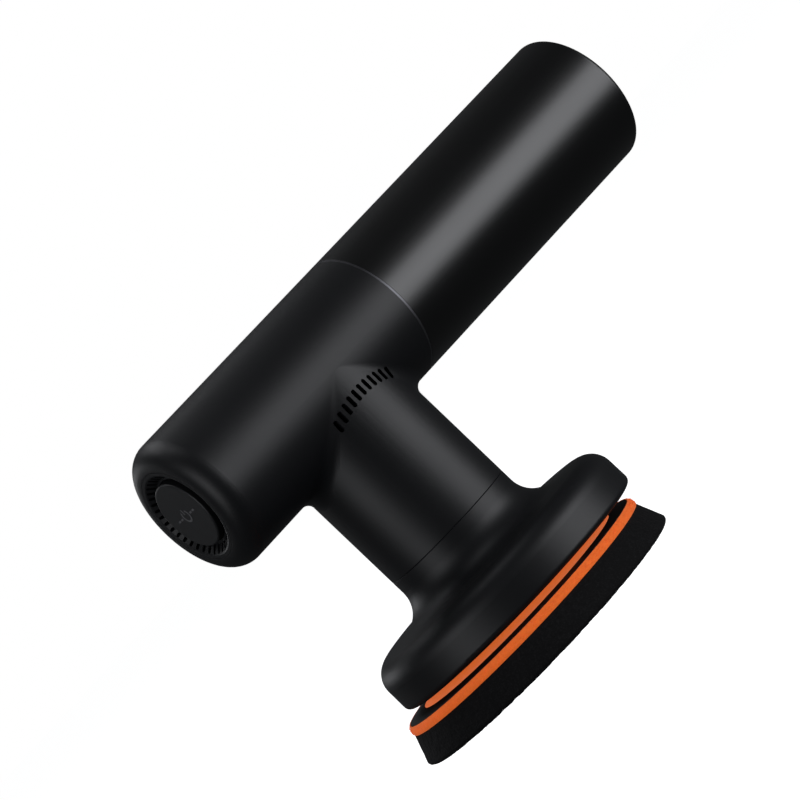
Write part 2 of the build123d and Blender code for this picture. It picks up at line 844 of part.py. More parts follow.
with BuildPart() as motor_lid:
    with BuildSketch(Plane.XY.offset(can_top)):
        Circle(motor_radius)
    extrude(amount=motor_lid_thickness)
    with BuildSketch(Plane.XY.offset(can_top)):
        Circle(can_inner - slip)
    extrude(amount=-can_floor)
    with BuildSketch(Plane.XY.offset(upper_bearing_bottom)):
        Circle(bearing_wall)
    extrude(amount=can_top - upper_bearing_bottom)
    with BuildSketch(Plane.XY.offset(upper_bearing_bottom)):
        Circle(bearing_radius)
    extrude(amount=bearing_width, mode=Mode.SUBTRACT)
    with BuildSketch(Plane.XY.offset(upper_bearing_bottom)):
        Circle(bearing_radius - ring_wall)
    extrude(amount=bearing_width + motor_lid_thickness, mode=Mode.SUBTRACT)
    with BuildSketch(Plane.XY.offset(can_top - can_floor)):
        with Locations(*on_circle((bearing_wall + can_inner) / 2, lid_vent_count, 0)):
            Circle(small_screw[0])
    extrude(amount=can_floor + motor_lid_thickness, mode=Mode.SUBTRACT)
    chamfer(rims(motor_lid, motor_radius).sort_by(Axis.Z)[-1], lid_edge)
save(motor_lid, "motor_lid")

save_screws("motor_screws", column_seat, motor_screw_places, small_screw, mount_thickness + can_floor)

with BuildPart() as stator_core:
    # Yoke ring and six teeth
    with BuildSketch(Plane.XY.offset(stack_bottom)):
        Circle(stack_radius)
        Circle(tooth_root, mode=Mode.SUBTRACT)
        with PolarLocations((tooth_root + tooth_tip_radius) / 2, tooth_count):
            Rectangle(tooth_root - tooth_tip_radius + tooth_bite, tooth_width)
        Circle(tooth_tip_radius, mode=Mode.SUBTRACT)
    extrude(amount=stack_height)
save(stator_core, "stator_core")

coil_inner = tooth_tip_radius + coil_clearance
coil_outer = tooth_root - coil_clearance

with BuildPart() as stator_coils:
    # A copper coil round each tooth
    with BuildSketch(Plane.XY.offset(stack_bottom - coil_overhang)):
        with PolarLocations((coil_inner + coil_outer) / 2, tooth_count):
            Rectangle(coil_outer - coil_inner, tooth_width + 2 * coil_build)
    extrude(amount=stack_height + 2 * coil_overhang)
    with BuildSketch(Plane.XY.offset(stack_bottom - running)):
        with PolarLocations((tooth_root + tooth_tip_radius) / 2, tooth_count):
            Rectangle(tooth_root - tooth_tip_radius + 2 * tooth_bite, tooth_width + 2 * running)
    extrude(amount=stack_height + 2 * running, mode=Mode.SUBTRACT)
save(stator_coils, "stator_coils")

with BuildPart() as rotor_core:
    with BuildSketch(Plane.XY.offset(stack_bottom)):
        Circle(magnet_inner)
        Circle(shaft_radius, mode=Mode.SUBTRACT)
    extrude(amount=stack_height)
save(rotor_core, "rotor_core")

with BuildPart() as rotor_magnets:
    with BuildSketch(Plane.XY.offset(stack_bottom)):
        Circle(magnet_outer)
        Circle(magnet_inner, mode=Mode.SUBTRACT)
        with PolarLocations(magnet_outer, magnet_count):
            Rectangle(2 * magnet_thickness + cut_over, magnet_slot, mode=Mode.SUBTRACT)
    extrude(amount=stack_height)
save(rotor_magnets, "rotor_magnets")

with BuildPart() as shaft:
    with BuildSketch(Plane.XY.offset(shaft_bottom)):
        Circle(shaft_radius)
    extrude(amount=shaft_top - shaft_bottom)
    chamfer(shaft.edges().filter_by(GeomType.CIRCLE), shaft_chamfer)
save(shaft, "shaft")

fan_blade_end = fan_radius - fan_blade_inset
fan_blade_length = (fan_blade_end - fan_blade_start) / cos(radians(fan_blade_angle))

with BuildPart() as fan:
    # Centrifugal fan: a plate, a hub pressed on the shaft, and upright blades
    with BuildSketch(Plane.XY.offset(fan_bottom)):
        Circle(fan_radius)
        Circle(shaft_radius, mode=Mode.SUBTRACT)
    extrude(amount=fan_plate)
    with BuildSketch(Plane.XY.offset(fan_bottom)):
        Circle(fan_hub_radius)
        Circle(shaft_radius, mode=Mode.SUBTRACT)
    extrude(amount=fan_height)
    with BuildSketch(Plane.XY.offset(fan_bottom)):
        with PolarLocations((fan_blade_end + fan_blade_start) / 2, fan_blade_count):
            Rectangle(fan_blade_length, fan_plate, rotation=-fan_blade_angle)
    extrude(amount=fan_height)
save(fan, "fan")

# ---------------------------------------------------------------- bearings
race_radius = (bearing_radius + shaft_radius) / 2
groove_radius = ball_radius + ball_gap


def save_bearing(label, center, bottom):
    """Writes a ball bearing as its outer ring, inner ring and balls, three nodes."""
    middle = bottom + bearing_width / 2
    plane = Plane(origin=(center[0], center[1], bottom))
    for ring, outer, inner in (
        ("outer", bearing_radius, bearing_radius - ring_wall),
        ("inner", shaft_radius + ring_wall, shaft_radius),
    ):
        with BuildPart() as race:
            with BuildSketch(plane):
                Circle(outer)
                Circle(inner, mode=Mode.SUBTRACT)
            extrude(amount=bearing_width)
            with Locations((center[0], center[1], middle)):
                Torus(race_radius, groove_radius, mode=Mode.SUBTRACT)
        save(race, f"{label}_{ring}")
    with BuildPart() as balls:
        with Locations((center[0], center[1], middle)):
            with PolarLocations(race_radius, ball_count):
                Sphere(ball_radius)
    save(balls, f"{label}_balls")


save_bearing("lower_bearing", (0, 0), lower_bearing_bottom)
save_bearing("upper_bearing", (0, 0), upper_bearing_bottom)
save_bearing("eccentric_bearing", (throw_x, throw_y), eccentric_bearing_bottom)

# ---------------------------------------------------------------- eccentric drive
hub_radius = bearing_radius + hub_wall
weight_screw_places = on_circle(weight_screw_circle, 2, 90)
weight_inner = hub_radius + guide_gap
set_screw_turns = (throw_angle, throw_angle + 90)


def shaft_side(turn):
    """Plane touching the shaft inside the hub's boss, facing out at turn degrees round +Z."""
    along = (cos(radians(turn)), sin(radians(turn)), 0)
    height = hub_top - hub_boss_height / 3
    return Plane(origin=(shaft_radius * along[0], shaft_radius * along[1], height), z_dir=along)


with BuildPart() as eccentric_hub:
    # Cup that holds the eccentric bearing, a web over it and a boss on the shaft
    with BuildSketch(on_throw(eccentric_bearing_bottom)):
        Circle(hub_radius)
    extrude(amount=hub_web_top - eccentric_bearing_bottom)
    with BuildSketch(on_neck(hub_web_bottom)):
        Circle(hub_radius)
    extrude(amount=hub_web)
    with BuildSketch(on_neck(hub_web_top)):
        Circle(hub_boss_radius)
    extrude(amount=hub_boss_height)
    with BuildSketch(on_throw(eccentric_bearing_bottom)):
        Circle(bearing_radius)
    extrude(amount=bearing_width, mode=Mode.SUBTRACT)
    with BuildSketch(on_throw(eccentric_bearing_top)):
        Circle(hub_recess_radius)
    extrude(amount=hub_recess, mode=Mode.SUBTRACT)
    with BuildSketch(on_neck(shaft_bottom)):
        Circle(shaft_radius)
    extrude(amount=hub_top - shaft_bottom, mode=Mode.SUBTRACT)
    with BuildSketch(on_neck(hub_web_top)):
        with Locations(*weight_screw_places):
            Circle(small_screw[0])
    extrude(amount=-weight_hole_depth, mode=Mode.SUBTRACT)
    for turn in set_screw_turns:
        with BuildSketch(shaft_side(turn).offset(-shaft_radius)):
            Circle(set_screw_radius)
        extrude(amount=hub_boss_radius + slip, mode=Mode.SUBTRACT)
save(eccentric_hub, "eccentric_hub")

with BuildPart() as counterweight:
    # Ring plate on the web, with a thick arc hanging on the side away from the throw
    with BuildSketch(on_neck(hub_web_top)):
        Circle(hub_radius)
        Circle(hub_boss_radius + slip, mode=Mode.SUBTRACT)
        with Locations(*weight_screw_places):
            Circle(small_screw[0] + screw_gap, mode=Mode.SUBTRACT)
    extrude(amount=weight_plate)
    with BuildSketch(on_neck(hub_web_top + weight_plate)):
        with BuildLine():
            arc = CenterArc((0, 0), weight_radius, 180 - weight_angle / 2, weight_angle)
            Line(arc @ 0, (0, 0))
            Line((0, 0), arc @ 1)
        make_face()
        Circle(weight_inner, mode=Mode.SUBTRACT)
    extrude(amount=-weight_depth)
    with BuildSketch(on_neck(hub_web_top + weight_plate)):
        with BuildLine():
            arc = CenterArc((0, 0), weight_inner + weight_bite, 180 - weight_angle / 2, weight_angle)
            Line(arc @ 0, (0, 0))
            Line((0, 0), arc @ 1)
        make_face()
        Circle(hub_radius - weight_bite, mode=Mode.SUBTRACT)
    extrude(amount=-weight_plate)
save(counterweight, "counterweight")

weight_screw_seat = on_neck(hub_web_top + weight_plate)
save_screws("counterweight_screws", weight_screw_seat, weight_screw_places, small_screw, weight_screw_length)

with BuildPart() as hub_screws:
    # Two set screws through the boss onto the shaft, a quarter turn apart
    for turn in set_screw_turns:
        with BuildSketch(shaft_side(turn)):
            Circle(set_screw_radius)
        extrude(amount=hub_boss_radius - shaft_radius - slip)
save(hub_screws, "hub_screws")

# ---------------------------------------------------------------- backing plate
spindle_neck = shaft_radius + ring_wall
spindle_screw_places = on_circle(spindle_screw_circle, spindle_screw_count, 45)
bolt_radius = screw[0]
cover_hole_radius = spindle_flange_radius + cover_hole_gap

with BuildPart() as plate_spindle:
    # Flange on the plate, a step under the inner ring and a stub inside it
    with BuildSketch(on_throw(plate_top)):
        Circle(spindle_flange_radius)
    extrude(amount=spindle_flange)
    with BuildSketch(on_throw(spindle_top)):
        Circle(spindle_neck)
    extrude(amount=spindle_step)
    with BuildSketch(on_throw(eccentric_bearing_bottom)):
        Circle(shaft_radius)
    extrude(amount=bearing_width - slip)
    with BuildSketch(on_throw(eccentric_bearing_top)):
        Circle(bolt_radius)
    extrude(amount=-bearing_width, mode=Mode.SUBTRACT)
    with BuildSketch(on_throw(spindle_top)):
        with Locations(*spindle_screw_places):
            Circle(flat_screw[0] + screw_gap)
    extrude(amount=-spindle_flange, mode=Mode.SUBTRACT)
    screw_holes = rims(plate_spindle, flat_screw[0] + screw_gap)
    chamfer(screw_holes.group_by(Axis.Z)[-1], flat_screw[1] - flat_screw[0])
save(plate_spindle, "plate_spindle")

with BuildPart() as spindle_screw:
    # Wide-headed screw that holds the inner ring on the stub
    with BuildSketch(on_throw(eccentric_bearing_top)):
        Circle(spindle_neck)
    extrude(amount=flat_screw[2] / 2)
    with BuildSketch(on_throw(eccentric_bearing_top + flat_screw[2] / 2)):
        Circle(screw[1])
        RegularPolygon(bolt_radius, 6, mode=Mode.SUBTRACT)
    extrude(amount=screw[2] / 2)
    with BuildSketch(on_throw(eccentric_bearing_top)):
        Circle(bolt_radius)
    extrude(amount=-spindle_bolt_length)
save(spindle_screw, "spindle_screw")

with BuildPart() as plate_screws:
    # Countersunk screws through the flange into the plate
    for place in spindle_screw_places:
        with BuildSketch(on_throw(spindle_top)):
            with Locations(place):
                Circle(flat_screw[0])
        extrude(amount=-spindle_flange - plate_thickness / 2)
        with BuildSketch(on_throw(spindle_top)):
            with Locations(place):
                Circle(flat_screw[1] - 2 * screw_gap)
        extrude(amount=-flat_screw[1] + flat_screw[0] + 2 * screw_gap, taper=45)
save(plate_screws, "plate_screws")

with BuildPart() as backing_plate:
    # Disc whose top falls away outside the cover, with a seat for the cover
    revolve(
        section(
            throw_section,
            (0, plate_bottom),
            (plate_radius, plate_bottom),
            (plate_radius, plate_top - plate_rim_drop),
            (cover_radius + slip, plate_top),
            (cover_radius + slip, plate_top - cover_thickness),
            (cover_hole_radius, plate_top - cover_thickness),
            (cover_hole_radius, plate_top),
            (0, plate_top),
        ),
        axis=throw_axis,
    )
    with BuildSketch(on_throw(plate_top)):
        with Locations(*spindle_screw_places):
            Circle(flat_screw[0])
    extrude(amount=-plate_thickness / 2, mode=Mode.SUBTRACT)
save(backing_plate, "backing_plate")

with BuildPart() as plate_cover:
    with BuildSketch(on_throw(plate_top - cover_thickness)):
        Circle(cover_radius)
        Circle(cover_hole_radius + slip, mode=Mode.SUBTRACT)
    extrude(amount=cover_thickness)
save(plate_cover, "plate_cover")

with BuildPart() as hook_layer:
    with BuildSketch(on_throw(hook_bottom)):
        Circle(plate_radius - hook_inset)
    extrude(amount=hook_thickness)
save(hook_layer, "hook_layer")

# ---------------------------------------------------------------- pad
with BuildPart() as loop_layer:
    # Dish the plate sits in, its edge bulging as it widens towards the foam
    with BuildSketch(throw_section) as loop_section:
        with BuildLine():
            floor_line = Line((0, foam_height), (foam_top_radius, foam_height))
            edge = ThreePointArc(
                floor_line @ 1,
                ((foam_top_radius + loop_top_radius) / 2 + loop_bulge, foam_height + loop_height / 2),
                (loop_top_radius, foam_height + loop_height),
            )
            Polyline(
                edge @ 1,
                (plate_radius + plate_recess_gap, foam_height + loop_height),
                (plate_radius + plate_recess_gap, foam_height + loop_floor),
                (0, foam_height + loop_floor),
                (0, foam_height),
            )
        make_face()
    revolve(axis=throw_axis)
save(loop_layer, "loop_layer")

with BuildPart() as foam_pad:
    revolve(
        section(
            throw_section,
            (0, 0),
            (foam_bottom_radius, 0),
            (foam_top_radius, foam_height),
            (0, foam_height),
        ),
        axis=throw_axis,
    )
    fillet(rims(foam_pad, foam_bottom_radius), foam_edge_radius)
save(foam_pad, "foam_pad")

# ---------------------------------------------------------------- bell
slope = tan(radians(bell_top_slope))
draft_slope = tan(radians(bell_draft))


def bell_outline(inset, bottom, top):
    """Half section of the bell filled solid, its surface moved in by inset, up to top."""
    neck = neck_radius - inset
    crown = bell_top - inset / cos(radians(bell_top_slope))
    skirt = bell_radius - inset - (bottom - bell_bottom) * draft_slope
    corner_fall = (skirt - neck) * slope
    corner_height = (crown - corner_fall - bottom * slope * draft_slope) / (1 - slope * draft_slope)
    corner_radius = skirt - (corner_height - bottom) * draft_slope
    with BuildSketch(Plane.XZ) as outline:
        with BuildLine():
            Polyline(
                (0, bottom),
                (skirt, bottom),
                (corner_radius, corner_height),
                (neck, crown),
                (neck, top),
                (0, top),
                close=True,
            )
        make_face()
        fillet(outline.vertices().sort_by_distance((neck, crown, 0))[0], flare_radius + inset)
        corner = (corner_radius, corner_height, 0)
        fillet(outline.vertices().sort_by_distance(corner)[0], shoulder_radius - inset)
    return outline.sketch


web_bottom = seam_height - web_thickness

with BuildPart() as bell:
    revolve(bell_outline(0, bell_bottom, seam_height), axis=Axis.Z)
    fillet(bell.edges().filter_by(GeomType.CIRCLE).sort_by(Axis.Z)[0], bell_edge_radius)
    chamfer(bell.edges().filter_by(GeomType.CIRCLE).sort_by(Axis.Z)[-1], bell_seam_chamfer)
    revolve(bell_outline(wall, bell_bottom - cut_over, web_bottom), axis=Axis.Z, mode=Mode.SUBTRACT)
    # Spigot into the neck, the way through for the hub, and the screw holes
    with BuildSketch(Plane.XY.offset(seam_height)):
        Circle(neck_bore - slip)
    extrude(amount=mount_offset - slip)
    with BuildSketch(Plane.XY.offset(web_bottom)):
        Circle(web_opening)
        with Locations(*bell_screw_places):
            Circle(screw[0] + screw_gap)
    extrude(amount=web_thickness + mount_offset, mode=Mode.SUBTRACT)
    with BuildSketch(Plane.XY.offset(seam_height)):
        with Locations(*column_places):
            Circle(screw[1] + 2 * screw_gap)
    extrude(amount=mount_offset, mode=Mode.SUBTRACT)
save(bell, "bell")

bell_screw_seat = Plane.XY.offset(web_bottom).rotated((180, 0, 0))
save_screws("bell_screws", bell_screw_seat, bell_screw_places, screw, bell_screw_length)
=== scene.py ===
# %% [markdown]
# # A cordless orbital massager, finished in Blender
#
# The frame is the engineering model of the tool: a barrel with a glossy grip, a neck, a bell and a round pad
# on an eccentric. It is loaded as it is. Nothing in it is moved; this lesson only adds surfaces and finishes
# around it. Everything is in metres, with +Z up and the origin under the neck, at the pad's lower face.

# %% Load the frame
import json
import math

import bpy
import numpy as np
from mathutils import Matrix, Vector


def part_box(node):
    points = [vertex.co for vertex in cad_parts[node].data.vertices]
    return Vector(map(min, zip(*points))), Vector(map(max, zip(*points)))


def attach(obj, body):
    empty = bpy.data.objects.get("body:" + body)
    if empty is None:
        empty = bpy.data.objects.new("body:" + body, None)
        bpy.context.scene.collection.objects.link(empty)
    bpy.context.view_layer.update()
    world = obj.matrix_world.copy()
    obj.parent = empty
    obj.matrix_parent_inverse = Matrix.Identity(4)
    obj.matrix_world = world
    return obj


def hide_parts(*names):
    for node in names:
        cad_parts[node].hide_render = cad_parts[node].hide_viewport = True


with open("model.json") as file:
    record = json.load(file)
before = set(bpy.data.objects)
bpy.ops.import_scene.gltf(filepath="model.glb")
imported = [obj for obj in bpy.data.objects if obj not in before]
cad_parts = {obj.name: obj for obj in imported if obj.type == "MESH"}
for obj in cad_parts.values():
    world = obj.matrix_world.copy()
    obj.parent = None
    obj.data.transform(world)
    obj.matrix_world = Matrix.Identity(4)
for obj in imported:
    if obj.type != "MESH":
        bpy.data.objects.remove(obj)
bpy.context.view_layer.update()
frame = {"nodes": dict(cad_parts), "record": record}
nodes = frame["nodes"]

# %% [markdown]
# ## The camera
#
# A long lens from 1.4 metres away, almost level with the tool, and rolled so that the barrel runs up to the
# right. The camera's three axes are worked out as unit vectors: back points from the tool to the camera, and
# right and up are turned about it by the roll. It looks at a point a little beside the place where the neck's
# axis meets the barrel's, and lean turns that offset about the line of sight.

# %% Camera from angles
sleeve_low, sleeve_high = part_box("handle_sleeve")
barrel_height = (sleeve_low.z + sleeve_high.z) / 2
azimuth = math.radians(-28.94)
elevation = math.radians(2.03)
lean = math.radians(0.57)
roll = math.radians(-46.33)
distance = 1.4054
aim_right = 0.0185
aim_up = -0.0243
lens_mm = 199.4
sensor_mm = 36


def direction(azimuth, elevation):
    """Unit vector out from the tool. Azimuth turns it from -Y towards +X, and elevation lifts it."""
    level = math.cos(elevation)
    return Vector((math.sin(azimuth) * level, -math.cos(azimuth) * level, math.sin(elevation)))


back = direction(azimuth, elevation)
level_right = Vector((math.cos(azimuth), math.sin(azimuth), 0))
level_up = back.cross(level_right)
aim = (math.cos(lean) * aim_right - math.sin(lean) * aim_up) * level_right
aim += (math.sin(lean) * aim_right + math.cos(lean) * aim_up) * level_up
right = math.cos(roll) * level_right + math.sin(roll) * level_up
up = back.cross(right)
barrel_middle = Vector((0, 0, barrel_height))

camera = bpy.data.objects.new("camera", bpy.data.cameras.new("camera"))
bpy.context.scene.collection.objects.link(camera)
camera.data.lens = lens_mm
camera.data.sensor_width = sensor_mm
camera.data.clip_end = 20
turn = Matrix((right, up, back)).transposed().to_4x4()
camera.matrix_world = Matrix.Translation(barrel_middle + aim + distance * back) @ turn
bpy.context.scene.camera = camera
print("camera stands at", tuple(round(value, 3) for value in camera.matrix_world.translation))

# %% [markdown]
# ## Light
#
# A black product on a white ground is lit by what it reflects. A wide box on the right, level with the tool,
# lays one long soft band along the grip and one down the neck. A weaker box on the left gives the neck its
# second band. A box high behind lights the barrel's top, a narrow one overhead draws the line round the
# bell's shoulder, and one low behind shows the back's shape. The surround is white where the camera sees it
# and dim where the tool does, so the shell stays black between its bands.

# %% World and soft boxes
scene = bpy.context.scene
scene.view_settings.view_transform = "Standard"
world = bpy.data.worlds.new("surround")
scene.world = world
world.use_nodes = True
sky = world.node_tree.nodes
white_ground = sky["Background"]
white_ground.inputs["Color"].default_value = (1, 1, 1, 1)
white_ground.inputs["Strength"].default_value = 1.0
dim_room = sky.new("ShaderNodeBackground")
dim_room.inputs["Color"].default_value = (0.93, 0.97, 1.0, 1)
dim_room.inputs["Strength"].default_value = 0.05
seen = sky.new("ShaderNodeLightPath")
either = sky.new("ShaderNodeMixShader")
join = world.node_tree.links.new
join(seen.outputs["Is Camera Ray"], either.inputs["Fac"])
join(dim_room.outputs["Background"], either.inputs[1])
join(white_ground.outputs["Background"], either.inputs[2])
join(either.outputs["Shader"], sky["World Output"].inputs["Surface"])

tool_middle = Vector((0.04, 0, 0.08))
cool_white = (0.955, 0.965, 1.0)


def soft_box(name, azimuth, elevation, reach, width, height, radiance):
    """A rectangular lamp reach metres from the tool, facing it. Its power is radiance times area times pi."""
    away = direction(math.radians(azimuth), math.radians(elevation))
    lamp = bpy.data.lights.new(name, "AREA")
    lamp.shape = "RECTANGLE"
    lamp.size = width
    lamp.size_y = height
    lamp.energy = radiance * width * height * math.pi
    lamp.color = cool_white
    box = bpy.data.objects.new(name, lamp)
    scene.collection.objects.link(box)
    facing = away.to_track_quat("Z", "Y").to_matrix().to_4x4()
    box.matrix_world = Matrix.Translation(tool_middle + reach * away) @ facing


soft_box("right_box", azimuth=38, elevation=2.5, reach=1.3, width=1.2, height=0.84, radiance=4.3)
soft_box("left_box", azimuth=-78, elevation=4, reach=1.3, width=0.7, height=0.9, radiance=2.6)
soft_box("top_box", azimuth=183, elevation=62, reach=1.4, width=1.0, height=0.45, radiance=3.0)
soft_box("over_box", azimuth=-29, elevation=83, reach=1.2, width=0.6, height=0.18, radiance=3.2)
soft_box("back_box", azimuth=192, elevation=14, reach=1.8, width=0.7, height=0.4, radiance=2.0)

# %% [markdown]
# ## The floor
#
# A plain white floor lies below the pad, just under the place that the pad reaches when it is pulled off its
# hooks. The floor gives off light of its own, so it meets the white surround with no horizon, and the tool
# doesn't see it, so the shell's underside stays as dark as in a studio.

# %% Floor
half = 4.0
floor_height = -0.031
corners = [(x * half, y * half, floor_height) for x, y in ((-1, -1), (1, -1), (1, 1), (-1, 1))]
floor_mesh = bpy.data.meshes.new("floor")
floor_mesh.from_pydata(corners, [], [(0, 1, 2, 3)])
floor = bpy.data.objects.new("floor", floor_mesh)
scene.collection.objects.link(floor)
floor_paper = bpy.data.materials.new("floor_paper")
floor_paper.use_nodes = True
paper = floor_paper.node_tree.nodes["Principled BSDF"].inputs
paper["Base Color"].default_value = (0.9, 0.9, 0.9, 1)
paper["Roughness"].default_value = 0.9
paper["Emission Color"].default_value = (1, 1, 1, 1)
paper["Emission Strength"].default_value = 0.95
floor_mesh.materials.append(floor_paper)
floor.visible_glossy = False
floor.visible_diffuse = False
print("floor is", 2 * half, "metres square")

# %% [markdown]
# ## Writing shaders as sums
#
# Every finish below is a small piece of arithmetic on patterns. Wire wraps one output of a node, so that
# `0.3 + 0.1 * grain` builds the Math nodes itself. Finish wraps a material: numbers that are the same all
# over go straight on the shader, and its node method adds any other node, with its settings first and then
# its sockets.

# %% Wire and Finish
class Wire:
    """One output socket. Sums, differences and products with numbers or other wires add Math nodes."""

    def __init__(self, finish, socket):
        self.finish = finish
        self.socket = socket

    def math(self, operation, first, second):
        return self.finish.node("ShaderNodeMath", {"operation": operation}, {0: first, 1: second})

    def __add__(self, other):
        return self.math("ADD", self, other)

    def __radd__(self, other):
        return self.math("ADD", other, self)

    def __sub__(self, other):
        return self.math("SUBTRACT", self, other)

    def __rsub__(self, other):
        return self.math("SUBTRACT", other, self)

    def __mul__(self, other):
        return self.math("MULTIPLY", self, other)

    def __rmul__(self, other):
        return self.math("MULTIPLY", other, self)


class Finish:
    """A material being made. Keyword numbers go on the shader's own sockets, with _ for a space."""

    def __init__(self, name, **constants):
        self.material = bpy.data.materials.new(name)
        self.material.use_nodes = True
        self.tree = self.material.node_tree
        self.shader = self.tree.nodes["Principled BSDF"]
        for socket, value in constants.items():
            self.shader.inputs[socket.replace("_", " ")].default_value = value
        self.place = self.node("ShaderNodeTexCoord", {}, {}, "Object")

    def node(self, kind, settings, sockets, output=0):
        """Adds a node: its settings, then a number or a wire for each socket. Gives one output's wire."""
        made = self.tree.nodes.new(kind)
        for setting, value in settings.items():
            if setting == "stops":
                for stop, (position, shade) in zip(self.stops_of(made, len(value)), value):
                    stop.position = position
                    stop.color = (*shade, 1)
            else:
                setattr(made, setting, value)
        for socket, value in sockets.items():
            if isinstance(value, Wire):
                self.tree.links.new(value.socket, made.inputs[socket])
            else:
                made.inputs[socket].default_value = value
        return Wire(self, made.outputs[output])

    def stops_of(self, ramp, count):
        """The ramp's stops, after adding as many as count asks for."""
        stops = ramp.color_ramp.elements
        while len(stops) < count:
            stops.new(1.0)
        return stops

    def feed(self, **wires):
        """Links wires to the shader's sockets."""
        for socket, wire in wires.items():
            self.tree.links.new(wire.socket, self.shader.inputs[socket.replace("_", " ")])

    def speckle(self, size, detail=2.0, stretch=(1, 1, 1)):
        """Noise from 0 to 1 whose blobs are about size metres across, drawn out along the axes by stretch."""
        squeeze = [1 / part for part in stretch]
        drawn = self.node(
            "ShaderNodeMapping", {"vector_type": "POINT"}, {"Vector": self.place, "Scale": squeeze}
        )
        return self.node(
            "ShaderNodeTexNoise", {}, {"Vector": drawn, "Scale": 1 / size, "Detail": detail}, "Fac"
        )

    def cells(self, size, feature="F1"):
        """Cells about size metres across, and the distance in them: F1 runs out from each cell's middle."""
        spread = {"Vector": self.place, "Scale": 1 / size}
        return self.node("ShaderNodeTexVoronoi", {"feature": feature}, spread, "Distance")

    def shades(self, amount, *stops):
        """A colour that runs through stops, each a place from 0 to 1 and a colour, as amount grows."""
        return self.node("ShaderNodeValToRGB", {"stops": stops}, {"Fac": amount}, "Color")

    def relief(self, height, depth):
        """A normal for a surface whose height wire stands for depth metres."""
        return self.node(
            "ShaderNodeBump", {}, {"Height": height, "Strength": 1.0, "Distance": depth}, "Normal"
        )


def tint(colour, factor):
    """The colour made lighter or darker."""
    return tuple(min(1.0, part * factor) for part in colour)


print("shader words ready")

# %% [markdown]
# ## Moulded plastic
#
# A mould leaves a fine even grain. The soft-touch shell is nearly black, so its grain shows only as a broad
# bloom round each highlight: fine bumps, and a roughness that drifts a little where hands have polished it.
# The grip is the same idea with a smoother skin, a slow ripple from the lacquer and a few lengthwise rubs.

# %% Moulded and lacquered finishes
def moulded(name, colour, rough, grain=0.00022, depth=0.00001, level=0.5):
    """Grained plastic. Colours drift a tenth either way, and roughness rises with the drift and the grain."""
    finish = Finish(name, Specular_IOR_Level=level)
    fine = finish.speckle(grain, 3.0)
    drift = finish.speckle(0.03, 2.0)
    finish.feed(
        Base_Color=finish.shades(drift, (0.3, tint(colour, 0.88)), (0.7, tint(colour, 1.12))),
        Roughness=rough - 0.05 + 0.06 * drift + 0.04 * fine,
        Normal=finish.relief(fine, depth),
    )
    return finish.material


def lacquered(name, colour, rough, level=0.5):
    """Smooth plastic with a ripple three times as long as wide, and fine rubs along the barrel."""
    finish = Finish(name, Specular_IOR_Level=level)
    ripple = finish.speckle(0.004, 1.0, (3, 1, 1))
    rubs = finish.speckle(0.0006, 2.0, (60, 1, 1))
    drift = finish.speckle(0.02, 2.0, (2, 1, 1))
    finish.feed(
        Base_Color=finish.shades(drift, (0.3, tint(colour, 0.9)), (0.7, tint(colour, 1.15))),
        Roughness=rough - 0.03 + 0.05 * rubs + 0.03 * drift,
        Normal=finish.relief(ripple + 0.1 * rubs, 0.00001),
    )
    return finish.material


print("plastics ready")

# %% [markdown]
# ## Felt, loop and foam
#
# The orange layers are a felted fabric: short fibres that lie in every direction. Their dye is painted
# lighter where the pile stands high and darker where it is low, painted light and shade on the fibres. Two
# noises stretched across each other give the fibres, and a third the clumps. Both layers also glow in their
# own colour, painted light that keeps them bright in the bell's shade. The foam is a field of small open
# cells in two sizes, so its skin eats the light, and its colour darkens out to each cell's edge as painted
# shade.

# %% Fabric and foam finishes
def felted(name, colour, fibre=0.00035, painted_glow=0.4):
    """Fabric of fibres that are fibre metres thick. Its painted glow is emission in the dye's colour, painted
    light that keeps the dye bright in the bell's shade; the dye is also painted lighter on the high pile and
    darker on the low, painted light and shade.
    """
    finish = Finish(
        name, Sheen_Weight=0.2, Sheen_Roughness=0.5, Specular_IOR_Level=0.2, Emission_Strength=painted_glow
    )
    along = finish.speckle(fibre, 2.0, (3, 1, 1))
    across = finish.speckle(fibre, 2.0, (1, 3, 1))
    clumps = finish.speckle(0.0016, 2.0)
    pile = 0.4 * along + 0.4 * across + 0.2 * clumps
    # Painted light and shade: the dye runs darker where the pile is low and lighter where it stands high.
    dye_and_painted_shading = finish.shades(pile, (0.3, tint(colour, 0.72)), (0.52, colour), (0.72, tint(colour, 1.22)))
    finish.feed(
        Base_Color=dye_and_painted_shading,
        # The emission in the dye's colour is painted light: the fabric glows though it is no lamp.
        Emission_Color=dye_and_painted_shading,
        Roughness=0.75 + 0.2 * pile,
        Normal=finish.relief(pile, 0.00012),
    )
    return finish.material


def foamed(name, colour):
    """Open-cell foam: each cell's middle is deep, and the walls between cells stand up. The colour darkens
    from each cell's middle out to its edge, a painted shade for the foam's open cells.
    """
    finish = Finish(name, Specular_IOR_Level=0.2)
    pores = finish.cells(0.0007)
    large = finish.cells(0.0019)
    drift = finish.speckle(0.012, 2.0)
    height = 0.7 * pores + 0.3 * large
    finish.feed(
        # Painted shade: the colour darkens from each cell's middle out to its edge.
        Base_Color=finish.shades(height + 0.15 * drift, (0.1, tint(colour, 1.5)), (0.6, tint(colour, 0.6))),
        Roughness=0.9 + 0.08 * drift,
        Normal=finish.relief(1 - height, 0.00012),
    )
    return finish.material


print("fabrics ready")

# %% [markdown]
# ## Metals and electrics
#
# Turned steel shows fine rings or streaks, so its roughness and bump come from a noise drawn out along some
# axes. A circuit board is solder mask over copper traces: thin raised lines. The cells wear a shrink wrap
# with faint wrinkles, the coils show their turns of wire, and the light guide is clear with a slight haze.

